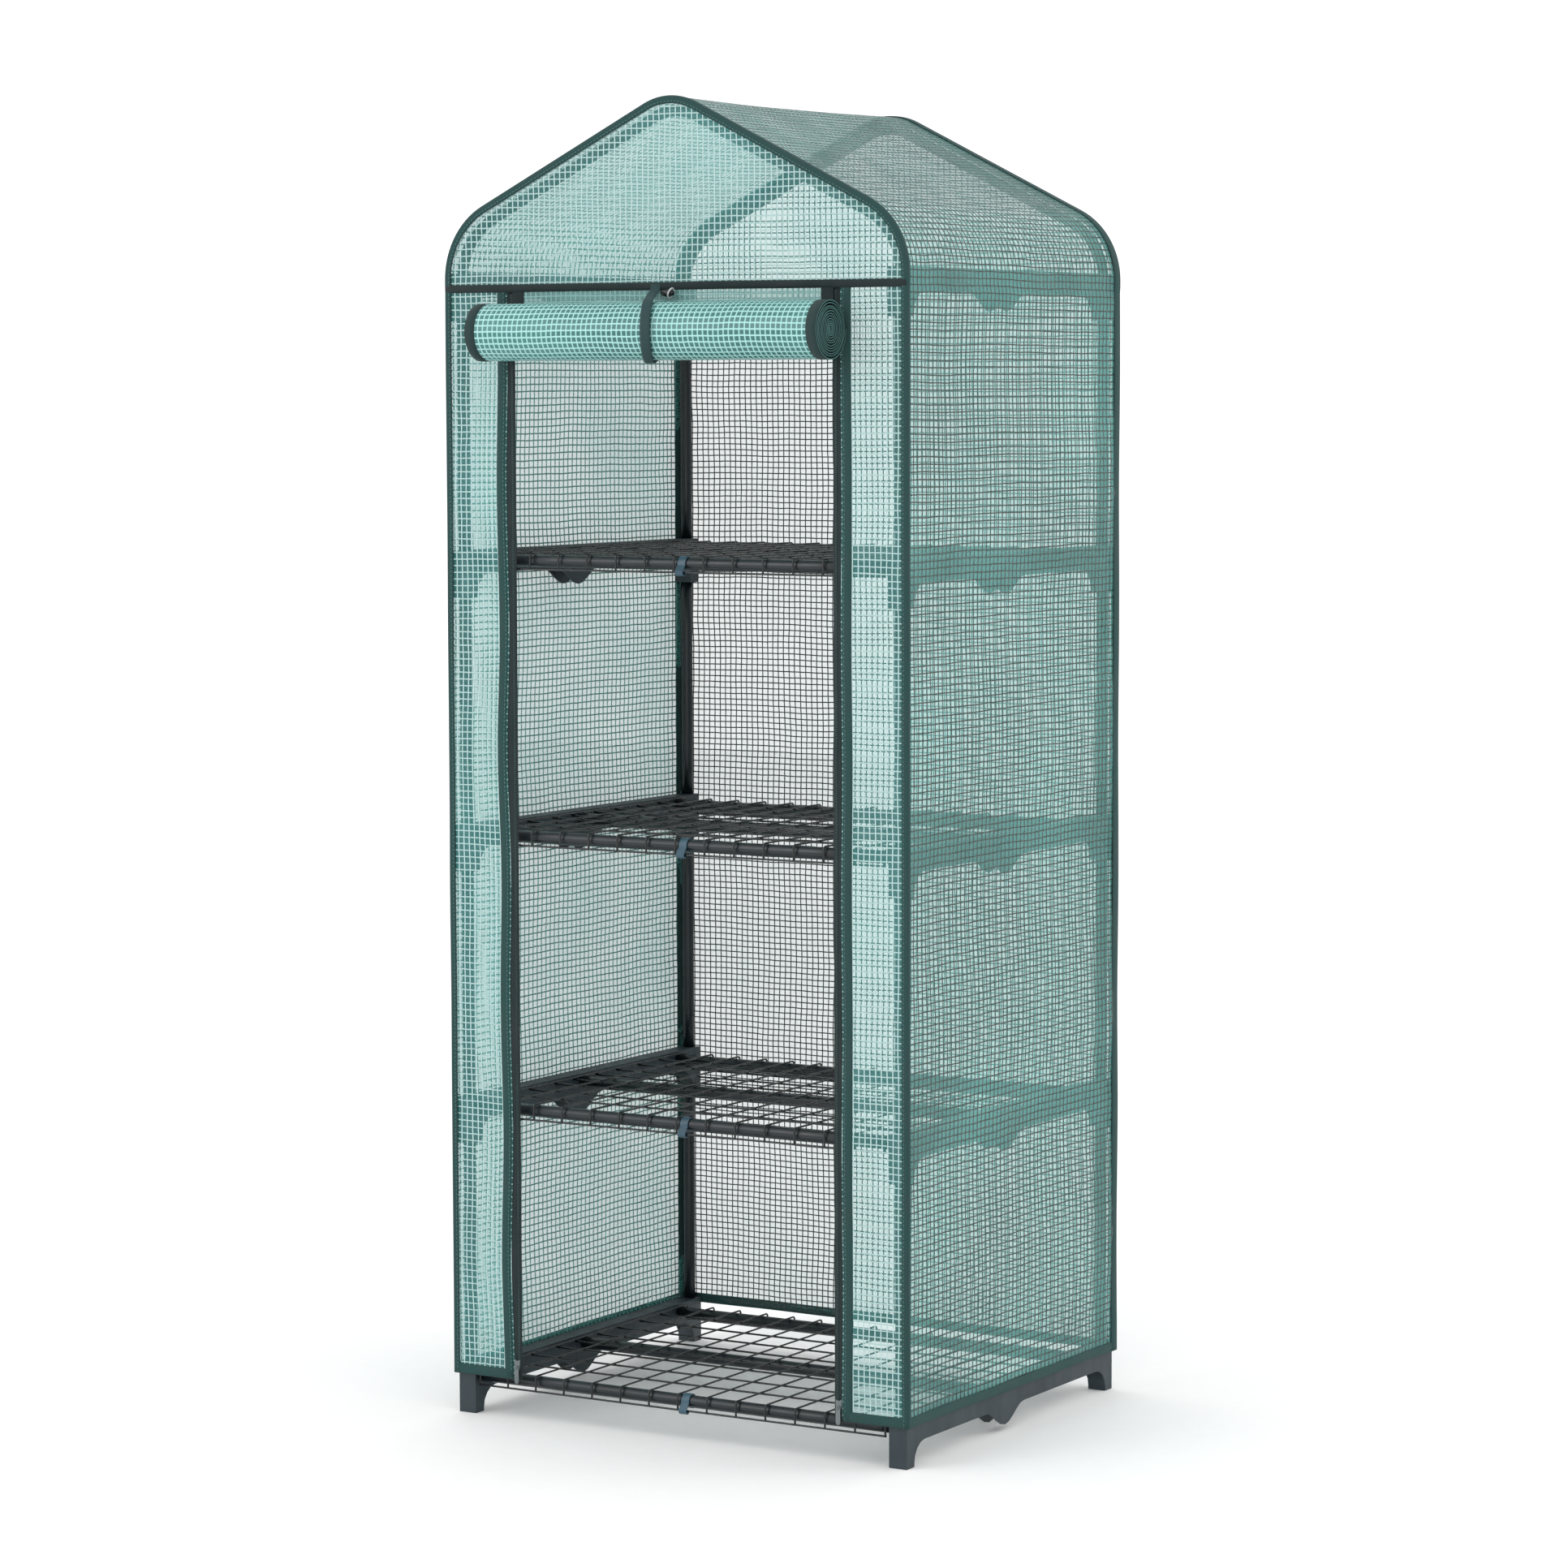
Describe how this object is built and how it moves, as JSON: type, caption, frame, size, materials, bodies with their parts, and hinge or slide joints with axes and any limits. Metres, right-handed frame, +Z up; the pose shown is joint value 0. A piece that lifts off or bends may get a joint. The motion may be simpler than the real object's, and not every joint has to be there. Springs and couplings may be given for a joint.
{
  "type": "shelf greenhouse",
  "caption": "Walk-up mini greenhouse: a plug-together tube rack with wire shelves under a zipped mesh cover with a pitched roof and a roll-up door.",
  "frame": {"origin": "on the floor, under the middle of the whole object with its door rolled up", "axes": "+Z up, -Y out through the door, +X to the right of somebody who faces the door"},
  "size_m": [0.643, 0.6114, 1.6],
  "materials": {
    "frame_plastic": "moulded slate-coloured plastic, satin",
    "tube_steel": "powder-coated near-black steel tube, satin",
    "wire_black": "plastic-dipped black wire",
    "cover_mesh": "clear film with a woven mint-green grid in it, slightly glossy",
    "binding_cloth": "woven dark green binding tape, matt",
    "clip_plastic": "blue moulded plastic",
    "zip_metal": "grey painted zinc",
    "toggle_plastic": "black plastic"
  },
  "bodies": {
    "root": {"side_frame_left_1": "frame_plastic", "side_frame_left_2": "frame_plastic", "side_frame_left_3": "frame_plastic", "side_frame_left_4": "frame_plastic", "side_frame_left_5": "frame_plastic", "side_frame_right_1": "frame_plastic", "side_frame_right_2": "frame_plastic", "side_frame_right_3": "frame_plastic", "side_frame_right_4": "frame_plastic", "side_frame_right_5": "frame_plastic", "post_front_left_1": "tube_steel", "post_front_left_2": "tube_steel", "post_front_left_3": "tube_steel", "post_front_left_4": "tube_steel", "post_front_right_1": "tube_steel", "post_front_right_2": "tube_steel", "post_front_right_3": "tube_steel", "post_front_right_4": "tube_steel", "post_back_left_1": "tube_steel", "post_back_left_2": "tube_steel", "post_back_left_3": "tube_steel", "post_back_left_4": "tube_steel", "post_back_right_1": "tube_steel", "post_back_right_2": "tube_steel", "post_back_right_3": "tube_steel", "post_back_right_4": "tube_steel", "tube_front_1": "tube_steel", "tube_front_2": "tube_steel", "tube_front_3": "tube_steel", "tube_front_4": "tube_steel", "tube_middle_1": "tube_steel", "tube_middle_2": "tube_steel", "tube_middle_3": "tube_steel", "tube_middle_4": "tube_steel", "tube_back_1": "tube_steel", "tube_back_2": "tube_steel", "tube_back_3": "tube_steel", "tube_back_4": "tube_steel", "roof_bow_front": "tube_steel", "roof_bow_back": "tube_steel", "wire_shelf_1": "wire_black", "wire_shelf_2": "wire_black", "wire_shelf_3": "wire_black", "wire_shelf_4": "wire_black", "shelf_clip_1": "clip_plastic", "shelf_clip_2": "clip_plastic", "shelf_clip_3": "clip_plastic", "shelf_clip_4": "clip_plastic", "cover_roof_and_sides": "cover_mesh", "cover_front": "cover_mesh", "cover_back": "cover_mesh", "tie_strap": "binding_cloth", "strap_toggle": "toggle_plastic"},
    "door_hanger": {"door_sheet": "cover_mesh"},
    "door_roll": {"door_roll": "cover_mesh"},
    "zip_slider_left": {"zip_slider_left": "zip_metal"},
    "zip_slider_right": {"zip_slider_right": "zip_metal"},
    "zip_pull_left": {"zip_pull_left": "zip_metal"},
    "zip_pull_right": {"zip_pull_right": "zip_metal"}
  },
  "joints": [
    {"name": "door_drop", "type": "slide", "parent": "root", "child": "door_hanger", "axis": [0, 0, -1], "range_m": [0, 1.24], "deforming": ["door_sheet", "tie_strap"]},
    {"name": "door_spin", "type": "hinge", "parent": "door_hanger", "child": "door_roll", "pos_m": [0, -0.26777, 1.326], "axis": [1, 0, 0], "range_deg": [0, 2160.5]},
    {"name": "zip_travel_left", "type": "slide", "parent": "root", "child": "zip_slider_left", "axis": [0, 0, 1], "range_m": [0, 1.24]},
    {"name": "zip_travel_right", "type": "slide", "parent": "root", "child": "zip_slider_right", "axis": [0, 0, 1], "range_m": [0, 1.24]},
    {"name": "zip_pull_swing_left", "type": "hinge", "parent": "zip_slider_left", "child": "zip_pull_left", "pos_m": [-0.2277, -0.22987, 0.0645], "axis": [0, 1, 0], "range_deg": [-35, 35]},
    {"name": "zip_pull_swing_right", "type": "hinge", "parent": "zip_slider_right", "child": "zip_pull_right", "pos_m": [0.2277, -0.22987, 0.0645], "axis": [0, 1, 0], "range_deg": [-35, 35]}
  ],
  "couplings": [
    {"joint": "door_spin", "follows": "door_drop", "rad_per_m": 30.403}
  ]
}
